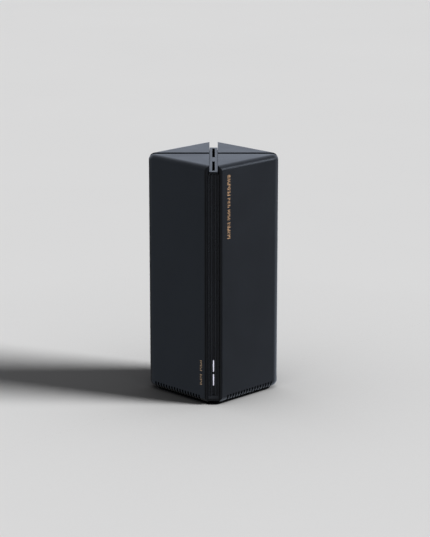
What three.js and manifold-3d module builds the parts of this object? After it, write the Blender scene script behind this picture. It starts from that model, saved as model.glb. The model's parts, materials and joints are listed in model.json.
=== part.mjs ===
// Mesh wifi node: a diamond-plan tower with a front and a rear shell, a ribbed spine down the
// front edge and over the top, a port panel in the rear edge, and the electronics that it holds.
// Millimetres, +Z up. The origin is the centre of the footprint on the table, -Y is the front.
import * as THREE from "three";
import { mergeVertices } from "three/addons/utils/BufferGeometryUtils.js";
import Module from "manifold-3d";

const wasm = await Module();
wasm.setup();

// ---------------------------------------------------------------- driving dimensions

const TOP = 199; // overall height
const SHELL_BOTTOM = 1.9; // the shells hang this far above the table
const HALF_DIAGONAL = 57.5; // centre to the sharp corner of the diamond plan
const SIDE_CORNER_R = 11; // vertical edges at the left and right
const EDGE_R = 4.5; // top and bottom edges of the faces
const WALL = 2.2;
const GAP = 0.3; // clearance between pieces that meet

const SEAM_WIDTH = 1.5; // reveal between the front and rear shells
const LIP_OUTER = 1.5; // the rear shell's tongue lies between these insets
const LIP_INNER = 3.1;
const LIP_REACH = 4;

const CHANNEL_HALF = 3.5; // channel across the top
const SPINE_WAY_HALF = 4.6; // wider channel that holds the front and rear spines
const CHANNEL_WALL = 1.6;
const CHANNEL_LIP_R = 2.3; // rounding of the face edges beside the channel
const SPINE_HALF = 4.3;
const TOP_SPINE_HALF = 3.2;
const SPINE_FRONT = 49.4; // distance of the spine's face from the centre
const SPINE_DEPTH = 3;
const SPINE_RIB = 2.2; // outer side of each inner rib
const SPINE_OUTER_RIB = 3.2; // inner side of each outer rib
const SPINE_GROOVE_HALF = 0.9;
const SPINE_GROOVE = 1.5;
const SPINE_FLUTE = 0.7; // depth between an inner and an outer rib
const SPINE_BOTTOM = 4.9;
const SPINE_FOOT = 2.9; // plain block at the lower end of the front spine
const TOP_RECESS = 5; // the top spine lies this far below the top faces
const TOP_SPINE_DEPTH = 2;
const TOP_SPINE_END = 50.6;
const TOP_SLOT_HALF = 1.1;
const TOP_SLOT_NEAR = 8.6;
const TOP_SLOT_FAR = 45.4;

const LENS_HALF = 0.45;
const LENS_FRONT = 48.1; // just proud of the groove's floor
const LENS_HEIGHT = 9.5;
const LENS_CENTRES = { upper: 32.5, lower: 20.7 };

const VENTS_PER_FACE = 17;
const VENT_WIDTH = 1.7;
const VENT_PITCH = 3.2;
const VENT_OFFSET = 1.7; // the row of vents lies this far from the face's middle, off the channel
const VENT_TOP = 7.4;
const BASE_INSET = 6; // the base plug fills the shells' lower opening
const BASE_REACH = 43.5; // the opening is cut square at the front and rear
const PLATE_BOTTOM = 1;
const PLATE_TOP = 5.2;
const FOOT_INSET = 3.4; // the foot is a thin plate that shows as a dark line below the shells
const FOOT_CORNER_R = 13;
const FOOT_HEIGHT = 0.8;
const FOOT_RING = 15; // inset of the foot's open middle

const BAY = { half: 10.5, low: 14, high: 130, r: 3, rim: 1.6, depth: 42.5 };
const PANEL_FACE = 44.4;
const PANEL_BACK = 40.8;
const BOARD = { x0: -8.4, x1: -6.8, y0: -40, y1: 40.2, z0: 10, z1: 176 };
const JACK = { x0: -6.6, x1: 6.8, width: 16, back: 25.8, mouth: 43.8 };
const JACK_HEIGHTS = { wan_jack: 42.5, lan_jack_1: 60.5, lan_jack_2: 78.5, lan_jack_3: 96.5 };
const DC_HEIGHT = 24;
const RESET_HEIGHT = 110;
const BUTTON_HEIGHT = 121;
const SWITCH_X = -3; // plunger axis of both switches

const BASE_SCREW = { x: 33, y: 8 };
const SINK_SCREWS = {
  front_lower: { y: -30.6, z: 64 },
  front_upper: { y: -30.6, z: 126 },
  rear_lower: { y: 16.2, z: 69 },
  rear_upper: { y: 26.6, z: 126 },
};
const LED_BOARD_FRONT = -42.6;
const LED = { half: 1.4, halfHeight: 1.8, depth: 1.1 };

const NOTCH_HALF = 10; // the foot and plate leave the spines' lower ends clear
const INTAKE = { each: 5, pitch: 4, half: 0.9, reach: 24, taper: 0.7 }; // slots in the base plate
const PANEL_FLANGE = { half: 13, over: 2, r: 3 };
const PLUG = { x0: -4.4, x1: 2.6, half: 5.95 }; // opening of a network jack
const LATCH = { x1: 4.9, half: 3.2, tipX1: 6, tipHalf: 1.8 };
const CONTACT = { count: 8, pitch: 1.27, width: 0.45 };
const BUTTON_PROFILE = [
  [0, 39.3],
  [4.6, 39.3],
  [4.6, 40.5],
  [3.2, 40.5],
  [3.2, 44.7],
  [2.8, 45.1],
  [2.2, 45.2],
  [1.4, 44.95],
  [0, 44.85],
]; // radius and distance from the centre, round the button's axis

const FIN = { pitch: 5.2, half: 0.7, margin: 0.8, reach: 25, diagonal: 49 };
const SINK = { front: -34, low: 30, high: 158, rightLow: 56, rightRear: 4 };
const CAN = { base: -6.5, lid: -4.2, panel: -3.7, y0: -27, y1: 3 };
const CAN_HEIGHTS = { soc_shield: [92, 122], shield_2g: [60, 88], shield_5g: [128, 154] };
const ANTENNA = { half: 6.5, thick: 0.4, low: 108, high: 164, along: 12.5, inset: 6.5 };
const BRACKET = { outer: 7.2, inner: 8.8, arm: 16, low: 96, high: 184 };

// ---------------------------------------------------------------- solids

const AXES = {
  x: new THREE.Vector3(1, 0, 0),
  y: new THREE.Vector3(0, 1, 0),
  z: new THREE.Vector3(0, 0, 1),
};

// A closed three.js geometry as a solid for joining and cutting.
function solidOf(geometry) {
  const bare = geometry.index ? geometry.toNonIndexed() : geometry.clone();
  bare.deleteAttribute("normal");
  bare.deleteAttribute("uv");
  const merged = mergeVertices(bare, 1e-4);
  return new wasm.Manifold(
    new wasm.Mesh({
      numProp: 3,
      vertProperties: merged.attributes.position.array,
      triVerts: new Uint32Array(merged.index.array),
    }),
  );
}

function geometryOf(solid) {
  const mesh = solid.getMesh();
  const points = new Float32Array(mesh.numVert * 3);
  for (let i = 0; i < mesh.numVert; i++) {
    points.set(mesh.vertProperties.subarray(i * mesh.numProp, i * mesh.numProp + 3), i * 3);
  }
  const geometry = new THREE.BufferGeometry();
  geometry.setAttribute("position", new THREE.BufferAttribute(points, 3));
  geometry.setIndex(new THREE.BufferAttribute(new Uint32Array(mesh.triVerts), 1));
  geometry.computeVertexNormals();
  return geometry;
}

function box(x0, x1, y0, y1, z0, z1) {
  const geometry = new THREE.BoxGeometry(x1 - x0, y1 - y0, z1 - z0);
  return solidOf(geometry.translate((x0 + x1) / 2, (y0 + y1) / 2, (z0 + z1) / 2));
}

// A shape in the XY plane, extruded from z0 to z1.
function alongZ(shape, z0, z1, curveSegments = 8) {
  const geometry = new THREE.ExtrudeGeometry(shape, {
    depth: z1 - z0,
    bevelEnabled: false,
    curveSegments,
  });
  return solidOf(geometry.translate(0, 0, z0));
}

// A shape drawn with its x along X and its y along Z, extruded from y0 to y1.
function alongY(shape, y0, y1, curveSegments = 5) {
  const geometry = new THREE.ExtrudeGeometry(shape, {
    depth: y1 - y0,
    bevelEnabled: false,
    curveSegments,
  });
  return solidOf(geometry.rotateX(Math.PI / 2).translate(0, y1, 0));
}

// A shape drawn with its x along Y and its y along Z, extruded from x0 to x1.
function alongX(shape, x0, x1, curveSegments = 5) {
  const geometry = new THREE.ExtrudeGeometry(shape, {
    depth: x1 - x0,
    bevelEnabled: false,
    curveSegments,
  });
  const turn = new THREE.Matrix4().makeBasis(AXES.y, AXES.z, AXES.x);
  return solidOf(geometry.applyMatrix4(turn).translate(x0, 0, 0));
}

function roundedRect(x0, x1, y0, y1, r) {
  const s = new THREE.Shape();
  s.moveTo(x0 + r, y0);
  s.lineTo(x1 - r, y0);
  s.absarc(x1 - r, y0 + r, r, -Math.PI / 2, 0, false);
  s.lineTo(x1, y1 - r);
  s.absarc(x1 - r, y1 - r, r, 0, Math.PI / 2, false);
  s.lineTo(x0 + r, y1);
  s.absarc(x0 + r, y1 - r, r, Math.PI / 2, Math.PI, false);
  s.lineTo(x0, y0 + r);
  s.absarc(x0 + r, y0 + r, r, Math.PI, 1.5 * Math.PI, false);
  return s;
}

function rod(axis, centre, r, from, to, sides = 20) {
  const geometry = new THREE.CylinderGeometry(r, r, to - from, sides);
  const turn = new THREE.Quaternion().setFromUnitVectors(AXES.y, AXES[axis]);
  const place = new THREE.Vector3(...centre).addScaledVector(AXES[axis], (from + to) / 2);
  return solidOf(geometry.applyQuaternion(turn).translate(place.x, place.y, place.z));
}

function union(...solids) {
  return solids.reduce((a, b) => a.add(b));
}

// The diamond plan, inset square to its faces. Left and right corners are rounded, the front and
// rear corners are sharp because the channel cuts them away.
function diamond(inset = 0, r = Math.max(SIDE_CORNER_R - inset, 1)) {
  const a = HALF_DIAGONAL - inset * Math.SQRT2;
  const c = a - r * Math.SQRT2;
  const s = new THREE.Shape();
  s.absarc(c, 0, r, -Math.PI / 4, Math.PI / 4, false);
  s.lineTo(0, a);
  s.absarc(-c, 0, r, 0.75 * Math.PI, 1.25 * Math.PI, false);
  s.lineTo(0, -a);
  s.closePath();
  return s;
}

// The whole tower as one solid with rounded top and bottom edges, inset all round.
function skin(inset, bevelSegments = 3) {
  const r = EDGE_R - inset;
  const geometry = new THREE.ExtrudeGeometry(diamond(inset), {
    depth: TOP - SHELL_BOTTOM - 2 * EDGE_R,
    bevelEnabled: true,
    bevelThickness: r,
    bevelSize: r,
    bevelOffset: -r,
    bevelSegments,
    curveSegments: 6,
  });
  return solidOf(geometry.translate(0, 0, SHELL_BOTTOM + EDGE_R));
}

// ---------------------------------------------------------------- materials

const finish = {
  shell: { color: 0x23272e, roughness: 0.42, metalness: 0 },
  spine: { color: 0x1b1c20, roughness: 0.5, metalness: 0 },
  black: { color: 0x101114, roughness: 0.6, metalness: 0 },
  rubber: { color: 0x0b0b0c, roughness: 0.85, metalness: 0 },
  light: { color: 0xe6e8ff, roughness: 0.3, metalness: 0 },
  board: { color: 0x12402a, roughness: 0.5, metalness: 0 },
  tin: { color: 0xa8abb0, roughness: 0.35, metalness: 0.9 },
  steel: { color: 0x8d9096, roughness: 0.3, metalness: 0.9 },
  aluminium: { color: 0xb4b7bc, roughness: 0.4, metalness: 0.9 },
  gold: { color: 0xc9a24a, roughness: 0.25, metalness: 1 },
  jack: { color: 0x17181b, roughness: 0.45, metalness: 0 },
  wan: { color: 0x2a5fa8, roughness: 0.45, metalness: 0 },
  pad: { color: 0x8fa5b5, roughness: 0.9, metalness: 0 },
  coax: { color: 0x2d2f33, roughness: 0.6, metalness: 0 },
};

const node = new THREE.Group();

function add(name, material, solid, parent = node) {
  const mesh = new THREE.Mesh(geometryOf(solid), new THREE.MeshStandardMaterial(finish[material]));
  mesh.name = name;
  parent.add(mesh);
  return mesh;
}

// ---------------------------------------------------------------- shells

// Rounds the face edges on both sides of the channel, at the front (side -1) or rear (side 1).
function lipCutter(side) {
  const r = CHANNEL_LIP_R;
  const cx = CHANNEL_HALF + r;
  const cy = HALF_DIAGONAL - r * Math.SQRT2 - cx;
  const out = HALF_DIAGONAL + 5;
  const s = new THREE.Shape();
  s.moveTo(CHANNEL_HALF, SPINE_FRONT - 2);
  s.lineTo(CHANNEL_HALF, cy);
  s.absarc(cx, cy, r, Math.PI, Math.PI / 4, true);
  s.lineTo(cx + r / Math.SQRT2 + 2, out);
  s.lineTo(-cx - r / Math.SQRT2 - 2, out);
  s.lineTo(-cx - r / Math.SQRT2, cy + r / Math.SQRT2);
  s.absarc(-cx, cy, r, 0.75 * Math.PI, 0, true);
  s.lineTo(-CHANNEL_HALF, SPINE_FRONT - 2);
  s.closePath();
  const cutter = alongZ(s, -1, TOP + 1, 5);
  // Beyond the channel the cut goes no deeper than the spine's face.
  const kept = cutter.subtract(box(-20, 20, 0, SPINE_FRONT, -1, TOP + 1));
  return side > 0 ? kept : kept.rotate([0, 0, 180]);
}

// Blocks that become the channel's walls and floor, along the front, top and rear.
function channelBlocks() {
  const half = SPINE_WAY_HALF + CHANNEL_WALL;
  const floor = SPINE_FRONT - SPINE_DEPTH - GAP;
  const topFloor = TOP - TOP_RECESS - TOP_SPINE_DEPTH - GAP;
  const front = box(-half, half, -60, CHANNEL_WALL - floor, 0, TOP);
  const rear = box(-half, half, floor - CHANNEL_WALL, 60, 0, TOP);
  const top = box(-half, half, -60, 60, topFloor - CHANNEL_WALL, TOP);
  return union(front, rear, top);
}

function channelCut() {
  const half = SPINE_WAY_HALF;
  const floor = SPINE_FRONT - SPINE_DEPTH - GAP;
  const topFloor = TOP - TOP_RECESS - TOP_SPINE_DEPTH - GAP;
  const front = box(-half, half, -60, -floor, -1, topFloor);
  const rear = box(-half, half, floor, 60, BAY.high + BAY.rim, topFloor);
  const top = box(-CHANNEL_HALF, CHANNEL_HALF, -60, 60, topFloor, TOP + 1);
  const air = [-1, 1].map((s) => {
    const [near, far] = [s * TOP_SLOT_NEAR, s * TOP_SLOT_FAR].sort((a, b) => a - b);
    return box(-1.5, 1.5, near, far, topFloor - 5, TOP);
  });
  const lensWay = box(-2, 2, -60, CHANNEL_WALL - floor + 1, 13, 40);
  return union(front, rear, top, ...air, lensWay);
}

// Slots across the bottom edge of all four faces.
function bottomVents() {
  const cuts = [];
  const first = (-(VENTS_PER_FACE - 1) / 2) * VENT_PITCH;
  const faceMiddle = HALF_DIAGONAL / Math.SQRT2;
  for (let face = 0; face < 4; face++) {
    const offset = face % 2 ? VENT_OFFSET : -VENT_OFFSET;
    for (let i = 0; i < VENTS_PER_FACE; i++) {
      const along = first + i * VENT_PITCH + offset;
      const slot = box(
        faceMiddle - 5,
        faceMiddle + 1,
        along - VENT_WIDTH / 2,
        along + VENT_WIDTH / 2,
        0,
        VENT_TOP,
      );
      cuts.push(slot.rotate([0, 0, 45 + 90 * face]));
    }
  }
  return union(...cuts);
}

function baseOpening(inset, reach, z0, z1) {
  return alongZ(diamond(inset), z0, z1).intersect(box(-60, 60, -reach, reach, z0 - 1, z1 + 1));
}

// A screw boss near a side corner, tied to the wall by a rib.
function boss(sx, sy) {
  const { x, y } = BASE_SCREW;
  const post = rod("z", [sx * x, sy * y, 0], 3.2, 5.6, 20, 16);
  const [x0, x1] = [sx * x, sx * 50].sort((a, b) => a - b);
  const rib = box(x0, x1, sy * y - 1, sy * y + 1, 5.6, 20);
  const pilot = rod("z", [sx * x, sy * y, 0], 1.6, 0, 16, 12);
  return rib.add(post).intersect(skin(WALL - GAP, 1)).subtract(pilot);
}

function shells() {
  const wall = skin(0).subtract(skin(WALL, 1));
  const bayOutline = (grow) =>
    roundedRect(-BAY.half - grow, BAY.half + grow, BAY.low - grow, BAY.high + grow, BAY.r + grow);
  const bayWalls = alongY(bayOutline(BAY.rim), BAY.depth, 60);
  const bayWindow = alongY(bayOutline(0), 30, 60);
  const blocks = union(channelBlocks(), bayWalls).intersect(skin(0));
  const cuts = union(
    lipCutter(-1),
    lipCutter(1),
    channelCut(),
    bottomVents(),
    baseOpening(BASE_INSET, BASE_REACH, 0, 6),
    box(-20, 20, SPINE_FRONT, 70, -1, BAY.low),
  );
  const inside = box(-60, 60, BAY.depth - 20, BAY.depth, BAY.low - BAY.rim, BAY.high + BAY.rim);
  const whole = wall.add(blocks).subtract(cuts).subtract(bayWindow);
  const cleared = whole.subtract(inside.intersect(box(-13.5, 13.5, 0, 60, 0, TOP)));

  const half = SEAM_WIDTH / 2;
  const frontHalf = cleared.intersect(box(-70, 70, -70, -half, 0, TOP + 1));
  const rearHalf = cleared.intersect(box(-70, 70, half, 70, 0, TOP + 1));
  const rebate = skin(LIP_OUTER - GAP).intersect(
    box(-70, 70, -LIP_REACH - GAP, 70, 0, TOP + 1),
  );
  const zoneHalf = SPINE_WAY_HALF + CHANNEL_WALL + 0.1;
  const channelZone = box(-zoneHalf, zoneHalf, -70, 70, 0, TOP + 1);
  const openBase = alongZ(diamond(BASE_INSET), 0, 8);
  const tongue = skin(LIP_OUTER)
    .subtract(skin(LIP_INNER, 1))
    .intersect(box(-70, 70, -LIP_REACH, half + 1, 0, TOP + 1))
    .subtract(channelZone)
    .subtract(openBase);

  const posts = [-1, 1].map((sx) => {
    const [x0, x1] = [sx * 3.4, sx * 5].sort((a, b) => a - b);
    return box(x0, x1, -45, LED_BOARD_FRONT - GAP, 14, 39);
  });
  const frontFittings = union(boss(-1, -1), boss(1, -1), ...posts);
  const rearFittings = union(boss(-1, 1), boss(1, 1));
  add("front_shell", "shell", frontHalf.subtract(rebate.subtract(channelZone)).add(frontFittings));
  add("rear_shell", "shell", rearHalf.add(tongue).add(rearFittings));
}

// ---------------------------------------------------------------- spines

// Section of a spine, facing -Y: two ribs on each side of a deeper middle groove.
function spineSection() {
  const face = -SPINE_FRONT;
  const half = [
    [SPINE_GROOVE_HALF, face + SPINE_GROOVE],
    [SPINE_GROOVE_HALF, face + 0.25],
    [SPINE_GROOVE_HALF + 0.25, face],
    [SPINE_RIB - 0.25, face],
    [SPINE_RIB, face + 0.25],
    [SPINE_RIB + 0.1, face + SPINE_FLUTE],
    [SPINE_OUTER_RIB - 0.1, face + SPINE_FLUTE],
    [SPINE_OUTER_RIB, face + 0.25],
    [SPINE_OUTER_RIB + 0.25, face],
    [SPINE_HALF - 0.25, face],
    [SPINE_HALF, face + 0.25],
    [SPINE_HALF, face + SPINE_DEPTH],
  ];
  const mirrored = half.map(([x, y]) => [-x, y]).reverse();
  return new THREE.Shape([...half, ...mirrored].map(([x, y]) => new THREE.Vector2(x, y)));
}

function spines() {
  const upper = TOP - TOP_RECESS - TOP_SPINE_DEPTH - GAP;
  const ribbed = alongZ(spineSection(), SPINE_BOTTOM + SPINE_FOOT, upper, 6);
  const back = SPINE_DEPTH - SPINE_FRONT;
  const foot = box(
    -SPINE_HALF,
    SPINE_HALF,
    -SPINE_FRONT,
    back,
    SPINE_BOTTOM,
    SPINE_BOTTOM + SPINE_FOOT,
  );
  const windows = Object.values(LENS_CENTRES).map((z) =>
    box(-LENS_HALF - 0.1, LENS_HALF + 0.1, -60, 0, z - LENS_HEIGHT / 2 - 0.1, z + LENS_HEIGHT / 2 + 0.1),
  );
  add("front_spine", "spine", ribbed.add(foot).subtract(union(...windows)));

  const rear = alongZ(spineSection(), BAY.high + BAY.rim + GAP, upper, 6).rotate([0, 0, 180]);
  add("rear_spine", "spine", rear);

  const zTop = TOP - TOP_RECESS;
  const side = roundedRect(-TOP_SPINE_END, TOP_SPINE_END, zTop - TOP_SPINE_DEPTH, zTop, 0.95);
  const slots = [-1, 1].map((s) => {
    const [near, far] = [s * TOP_SLOT_NEAR, s * TOP_SLOT_FAR].sort((a, b) => a - b);
    return box(-TOP_SLOT_HALF, TOP_SLOT_HALF, near, far, zTop - 5, zTop + 5);
  });
  const strip = alongX(side, -TOP_SPINE_HALF, TOP_SPINE_HALF);
  add("top_spine", "shell", strip.subtract(union(...slots)));
}

// ---------------------------------------------------------------- status lights

function statusLights() {
  const boardFront = LED_BOARD_FRONT;
  const ledFront = boardFront - 0.1 - LED.depth;
  for (const [name, z] of Object.entries(LENS_CENTRES)) {
    const z0 = z - LENS_HEIGHT / 2;
    const z1 = z + LENS_HEIGHT / 2;
    const bar = box(-LENS_HALF, LENS_HALF, -LENS_FRONT, -45, z0, z1);
    const foot = box(-1.7, 1.7, -46, boardFront - 1.6, z0 - 0.4, z1 + 0.4);
    add(`status_lens_${name}`, "light", bar.add(foot));
    const { half, halfHeight: tall, depth } = LED;
    const led = box(-half, half, ledFront, ledFront + depth, z - tall, z + tall);
    add(`led_${name}`, "light", led);
  }
  add("led_board", "board", box(-6, 6, boardFront, boardFront + 1, 13.5, 39.5));
}

// ---------------------------------------------------------------- base

function base() {
  const frontNotch = box(-NOTCH_HALF, NOTCH_HALF, -60, -SPINE_FRONT, -1, 8);
  const rearNotch = frontNotch.rotate([0, 0, 180]);
  const plate = baseOpening(BASE_INSET + GAP, BASE_REACH - GAP, PLATE_BOTTOM, PLATE_TOP);
  const cuts = [];
  for (const sx of [-1, 1]) {
    for (const sy of [-1, 1]) {
      const centre = [sx * BASE_SCREW.x, sy * BASE_SCREW.y, 0];
      cuts.push(rod("z", centre, 1.8, 0, 8, 16));
      cuts.push(rod("z", centre, 3.3, 0, 3, 16));
      const screw = rod("z", centre, 1.3, 2, 14, 12).add(rod("z", centre, 2.9, 1.2, 2.8, 16));
      const slot = box(-2, 2, -0.4, 0.4, 0, 1.9).translate([centre[0], centre[1], 0]);
      const cross = box(-0.4, 0.4, -2, 2, 0, 1.9).translate([centre[0], centre[1], 0]);
      const side = sx < 0 ? "left" : "right";
      const end = sy < 0 ? "front" : "rear";
      add(`base_screw_${end}_${side}`, "steel", screw.subtract(slot).subtract(cross));
    }
  }
  for (let i = -INTAKE.each; i <= INTAKE.each; i++) {
    const y = i * INTAKE.pitch;
    const reach = INTAKE.reach - Math.abs(y) * INTAKE.taper;
    cuts.push(box(-reach, reach, y - INTAKE.half, y + INTAKE.half, 0, 8));
  }
  add("base_plate", "black", plate.subtract(union(...cuts)));

  const outer = alongZ(diamond(FOOT_INSET, FOOT_CORNER_R), 0, FOOT_HEIGHT);
  const pad = outer.subtract(alongZ(diamond(FOOT_RING), -1, 2));
  add("foot_pad", "rubber", pad.subtract(frontNotch).subtract(rearNotch));
}

// ---------------------------------------------------------------- rear panel and ports

function rearPanel() {
  const face = roundedRect(
    -BAY.half + GAP / 2,
    BAY.half - GAP / 2,
    BAY.low + GAP / 2,
    BAY.high - GAP / 2,
    BAY.r - GAP / 2,
  );
  const { half: wide, over, r } = PANEL_FLANGE;
  const flange = roundedRect(-wide, wide, BAY.low - over, BAY.high + over, r);
  const plate = alongY(face, PANEL_BACK, PANEL_FACE).add(
    alongY(flange, PANEL_BACK, BAY.depth - GAP),
  );
  const cuts = Object.values(JACK_HEIGHTS).map((z) => {
    const half = JACK.width / 2 + GAP;
    return alongY(roundedRect(JACK.x0 - GAP, JACK.x1 + GAP, z - half, z + half, 0.8), 30, 60, 3);
  });
  cuts.push(rod("y", [0, 0, DC_HEIGHT], 4.8, 30, 60, 20));
  cuts.push(rod("y", [SWITCH_X, 0, RESET_HEIGHT], 0.9, 30, 60, 12));
  cuts.push(rod("y", [0, 0, BUTTON_HEIGHT], 3.5, 30, 60, 20));
  add("io_panel", "black", plate.subtract(union(...cuts)));
}

// A modular jack on its side: the latch notch faces away from the board.
function jack(z) {
  const half = JACK.width / 2;
  const body = alongY(roundedRect(JACK.x0, JACK.x1, z - half, z + half, 0.6), JACK.back, JACK.mouth, 2);
  const plug = box(PLUG.x0, PLUG.x1, 30, 60, z - PLUG.half, z + PLUG.half);
  const latch = box(2, LATCH.x1, 30, 60, z - LATCH.half, z + LATCH.half);
  const tip = box(4.5, LATCH.tipX1, 30, 60, z - LATCH.tipHalf, z + LATCH.tipHalf);
  return body.subtract(union(plug, latch, tip));
}

// Eight sprung contacts on one carrier at the back of the jack's cavity.
function contacts(z) {
  const carrier = box(-4.1, -1.4, 30.3, 32, z - 5.6, z + 5.6);
  const blade = new THREE.Shape();
  blade.moveTo(31, -3.1);
  blade.lineTo(31, -2.6);
  blade.lineTo(40.2, -3.5);
  blade.lineTo(41.6, -3.5);
  blade.lineTo(41.6, -4.1);
  blade.lineTo(40, -4.1);
  blade.closePath();
  const geometry = new THREE.ExtrudeGeometry(blade, { depth: CONTACT.width, bevelEnabled: false });
  const turn = new THREE.Matrix4().makeBasis(AXES.y, AXES.x, AXES.z.clone().negate());
  const spring = solidOf(geometry.applyMatrix4(turn));
  const springs = [];
  for (let i = 0; i < CONTACT.count; i++) {
    const rise = (i - (CONTACT.count - 1) / 2) * CONTACT.pitch + CONTACT.width / 2;
    springs.push(spring.translate([0, 0, z + rise]));
  }
  return union(carrier, ...springs);
}

function ports() {
  for (const [name, z] of Object.entries(JACK_HEIGHTS)) {
    add(name, name === "wan_jack" ? "wan" : "jack", jack(z));
    add(name.replace("jack", "contacts"), "gold", contacts(z));
  }
  const z = DC_HEIGHT;
  const body = alongY(roundedRect(-6.5, 5.2, z - 4.7, z + 4.7, 0.8), 27, PANEL_BACK - GAP, 2);
  add("dc_jack", "jack", body.subtract(rod("y", [0, 0, z], 3.15, 30, 60, 20)));
  const pin = rod("y", [0, 0, z], 1, 30.3, 39.2, 16);
  add("dc_pin", "steel", pin.add(rod("y", [0, 0, z], 2.4, 30.1, 30.9, 16)));
}

// A side-push switch on the board. Its plunger is a piece of its own.
function sideSwitch(name, z) {
  const body = box(-6.6, 0.4, 33.5, 37, z - 3.2, z + 3.2);
  add(`${name}_switch`, "black", body.subtract(rod("y", [SWITCH_X, 0, z], 1.5, 34.3, 40, 16)));
  const stem = rod("y", [SWITCH_X, 0, z], 1.2, 35.3, 39, 16);
  add(`${name}_plunger`, "tin", stem);
}

function controls() {
  sideSwitch("reset", RESET_HEIGHT);
  sideSwitch("mesh", BUTTON_HEIGHT);
  const centre = [0, 0, BUTTON_HEIGHT];
  const profile = BUTTON_PROFILE.map(([r, y]) => new THREE.Vector2(r, y));
  const cap = new THREE.LatheGeometry(profile, 20).translate(...centre);
  add("mesh_button", "spine", solidOf(cap));
}

// ---------------------------------------------------------------- electronics

// Clearance for the four screws that clamp the heat sinks to the board.
function screwHoles() {
  const rods = Object.values(SINK_SCREWS).map(({ y, z }) => rod("x", [0, y, z], 1.6, -30, 30, 12));
  return union(...rods);
}

function mainBoard() {
  const { x0, x1, y0, y1, z0, z1 } = BOARD;
  const outline = alongX(roundedRect(y0, y1, z0, z1, 2), x0, x1, 3);
  add("main_board", "board", outline.subtract(screwHoles()));

  const guide = (low, high, slotLow, slotHigh) =>
    box(-12, -3.2, -36, 36, low, high).subtract(
      box(x0 - GAP, x1 + GAP, -50, 50, slotLow, slotHigh),
    );
  const hanger = box(-5, -3.4, -30, 30, 180, 189.8);
  add("lower_card_guide", "black", guide(5.6, 14, z0 - GAP, 20));
  add("upper_card_guide", "black", guide(172, 181, 160, z1 + GAP).add(hanger));
}

// Fins along Z that reach towards the face, cut to the diamond plan.
function heatSink(base0, base1, sign, y0, y1, z0, z1) {
  const count = Math.floor((y1 - y0 - 2 * FIN.margin) / FIN.pitch);
  let sink = box(Math.min(base0, base1), Math.max(base0, base1), y0, y1, z0, z1);
  for (let i = 0; i <= count; i++) {
    const y = y0 + FIN.margin + i * FIN.pitch;
    const tip = sign * Math.min(FIN.reach, FIN.diagonal - Math.abs(y));
    const [a, b] = [base0, tip].sort((p, q) => p - q);
    sink = sink.add(box(a, b, y - FIN.half, y + FIN.half, z0, z1));
  }
  return sink;
}

function cooling() {
  const left = heatSink(-9.9, -12.4, -1, SINK.front, -SINK.front, SINK.low, SINK.high);
  const right = heatSink(-2.3, 0.2, 1, SINK.front, SINK.rightRear, SINK.rightLow, SINK.high);
  add("heatsink_left", "aluminium", left.subtract(screwHoles()));
  add("heatsink_right", "aluminium", right.subtract(screwHoles()));
  for (const [place, { y, z }] of Object.entries(SINK_SCREWS)) {
    const seat = y < 0 ? 0.5 : BOARD.x1 + GAP;
    const shank = rod("x", [0, y, z], 1.3, -12.2, seat + 0.5, 12);
    const head = rod("x", [0, y, z], 1.8, seat, seat + 1.8, 16);
    const slot = box(seat + 1, seat + 3, y - 0.3, y + 0.3, z - 1.3, z + 1.3);
    add(`sink_screw_${place}`, "steel", shank.add(head).subtract(slot));
  }
  add("thermal_pad_left", "pad", box(-9.6, -8.7, -26, 12, 60, 150));
  add("thermal_pad_right", "pad", box(-3.4, -2.6, -24, 0, 96, 118));
}

// A pressed shield can with a shallow raised panel in its lid.
function shieldCan(z0, z1) {
  const { base, lid, panel, y0, y1 } = CAN;
  const can = alongX(roundedRect(y0, y1, z0, z1, 1), base, lid, 2);
  return can.add(alongX(roundedRect(y0 + 2, y1 - 2, z0 + 2, z1 - 2, 1), lid - 0.3, panel, 2));
}

function boardParts() {
  for (const [name, [low, high]] of Object.entries(CAN_HEIGHTS)) {
    add(name, "tin", shieldCan(low, high));
  }
  for (const [name, z] of [["a", 44], ["b", 78]]) {
    add(`lan_magnetics_${name}`, "jack", alongX(roundedRect(8, 23, z, z + 16, 0.5), -6.5, -1, 2));
  }
  const can = rod("x", [0, -10, 30], 4, -6.5, 4.5, 20).add(rod("x", [0, -10, 30], 4.3, -6.5, -5, 20));
  add("bulk_capacitor", "aluminium", can);
  add("power_inductor", "jack", alongX(roundedRect(6, 18, 22, 34, 2), -6.5, -1.5, 3));
}

// ---------------------------------------------------------------- antennas

// Parts near the left corner; sx mirrors them to the right.
function antennaSide(sx) {
  const side = sx < 0 ? "left" : "right";
  const bend = (inset) => HALF_DIAGONAL - inset * Math.SQRT2;
  const outer = bend(BRACKET.outer);
  const inner = bend(BRACKET.inner);
  const { arm, low, high } = BRACKET;
  const s = new THREE.Shape();
  s.moveTo(sx * outer, 0);
  s.lineTo(sx * (outer - arm), arm);
  s.lineTo(sx * (inner - arm), arm);
  s.lineTo(sx * inner, 0);
  s.lineTo(sx * (inner - arm), -arm);
  s.lineTo(sx * (outer - arm), -arm);
  s.closePath();
  const [x0, x1] = [sx * 46, sx * 49.5].sort((a, b) => a - b);
  const rib = box(x0, x1, -1.2, 1.2, low, high);
  add(`antenna_bracket_${side}`, "black", alongZ(s, low, high).add(rib));

  for (const sy of [-1, 1]) {
    const end = sy < 0 ? "front" : "rear";
    const { thick, half } = ANTENNA;
    const board = box(-thick, thick, -half, half, ANTENNA.low, ANTENNA.high);
    const plane = bend(ANTENNA.inset) / 2;
    const turned = board.rotate([0, 0, sx * sy * 45]);
    const centre = [sx * (plane + ANTENNA.along), sy * (plane - ANTENNA.along), 0];
    add(`antenna_${side}_${end}`, "board", turned.translate(centre));
    add(`coax_${side}_${end}`, "coax", coax(sx, sy));
  }
}

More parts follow.
